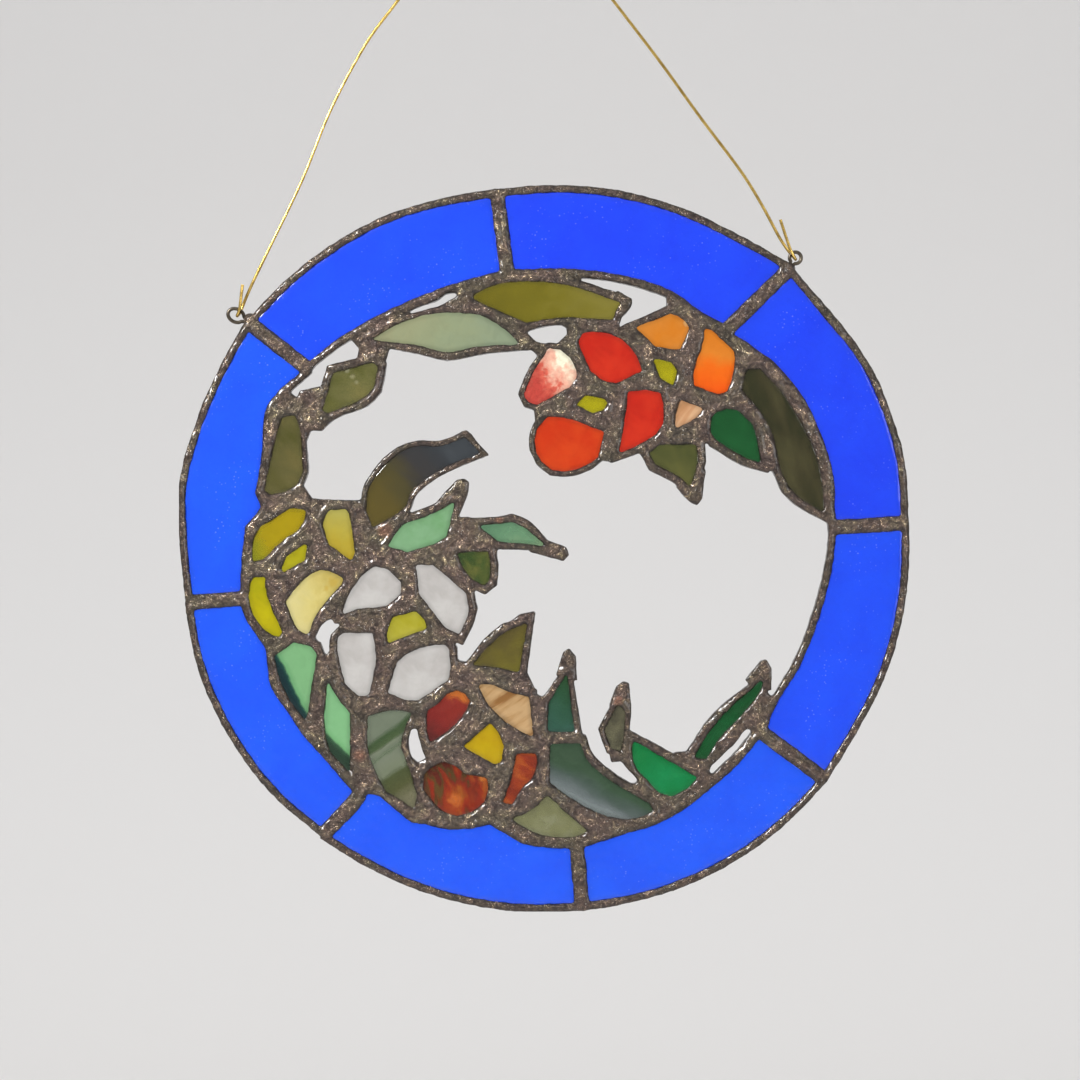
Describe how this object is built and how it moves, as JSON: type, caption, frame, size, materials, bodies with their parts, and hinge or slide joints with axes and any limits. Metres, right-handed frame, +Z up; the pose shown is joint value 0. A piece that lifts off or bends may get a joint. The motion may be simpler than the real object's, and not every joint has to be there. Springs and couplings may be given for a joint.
{
  "type": "stained glass panel",
  "caption": "Round stained glass window hanging with a ring of blue glass around an open wreath of flowers and leaves, hung by a wire.",
  "frame": {"origin": "where a hook carries the hanging wire, at the underside of its highest bend, midway through the panel's thickness", "axes": "+Z up, towards the hook; +X to the right of someone facing the panel's front; -Y out of the front"},
  "size_m": [0.2009, 0.005, 0.2885],
  "materials": {
    "solder": "tin-lead solder under a dark brown patina, lumpy",
    "tinned_wire": "tinned copper wire, dark",
    "brass_wire": "bright drawn wire",
    "glass_blue": "cobalt blue cathedral glass, lightly hammered",
    "glass_sage": "sage green opalescent glass",
    "glass_olive": "olive wispy glass",
    "glass_dark_olive": "dark olive wispy glass",
    "glass_mint": "mint green wispy glass",
    "glass_teal": "teal wispy glass",
    "glass_dark_green": "dark green cathedral glass",
    "glass_slate": "slate green glass, streaky",
    "glass_pink": "pink, red and cream mottled glass",
    "glass_red": "orange-red opalescent glass",
    "glass_dark_red": "dark red and orange mottled glass",
    "glass_orange": "orange opalescent glass",
    "glass_peach": "peach streaky glass",
    "glass_gold": "yellow and lime cathedral glass",
    "glass_pale_yellow": "pale yellow rippled glass",
    "glass_white": "white opalescent glass"
  },
  "bodies": {
    "root": {"solder_lattice": "solder", "ring_glass_right_upper": "glass_blue", "ring_glass_top_right": "glass_blue", "ring_glass_top_left": "glass_blue", "ring_glass_left_upper": "glass_blue", "ring_glass_left_lower": "glass_blue", "ring_glass_bottom_left": "glass_blue", "ring_glass_bottom_right": "glass_blue", "ring_glass_right_lower": "glass_blue", "leaf_sage_top": "glass_sage", "leaf_sage_bottom": "glass_sage", "leaf_streaky_green": "glass_sage", "leaf_olive_top": "glass_olive", "leaf_olive_upper_left": "glass_olive", "leaf_olive_left": "glass_olive", "leaf_olive_pointed": "glass_olive", "leaf_olive_below_flower": "glass_dark_olive", "leaf_dark_olive_right": "glass_dark_olive", "leaf_charcoal_curved": "glass_dark_olive", "leaf_grey_green_right": "glass_dark_olive", "leaf_dark_green_small": "glass_dark_olive", "leaf_mint_middle": "glass_mint", "leaf_mint_left": "glass_mint", "leaf_mint_dark_edge": "glass_mint", "leaf_teal_middle": "glass_teal", "leaf_slate_crescent": "glass_slate", "leaf_dark_green_right": "glass_dark_green", "leaf_dark_green_upright": "glass_dark_green", "leaf_emerald": "glass_dark_green", "leaf_dark_emerald": "glass_dark_green", "petal_mottled_pink": "glass_pink", "petal_red_top": "glass_red", "petal_red_lower": "glass_red", "petal_orange_red_round": "glass_red", "petal_dark_red": "glass_dark_red", "petal_orange_mottled": "glass_dark_red", "petal_orange_red_bottom": "glass_dark_red", "petal_orange_top": "glass_orange", "petal_orange_right": "glass_orange", "petal_peach_small": "glass_peach", "petal_peach_bottom": "glass_peach", "petal_gold_left": "glass_gold", "petal_gold_upper": "glass_gold", "petal_yellow_left": "glass_gold", "petal_pale_yellow": "glass_pale_yellow", "petal_white_left": "glass_white", "petal_white_right": "glass_white", "petal_white_lower_left": "glass_white", "petal_white_lower_right": "glass_white", "centre_lime_large": "glass_gold", "centre_lime_small": "glass_gold", "centre_lime_left": "glass_gold", "centre_yellow_white_flower": "glass_gold", "centre_yellow_bottom": "glass_gold", "eyelet_left": "tinned_wire", "eyelet_right": "tinned_wire", "hanging_wire": "brass_wire"}
  },
  "joints": []
}
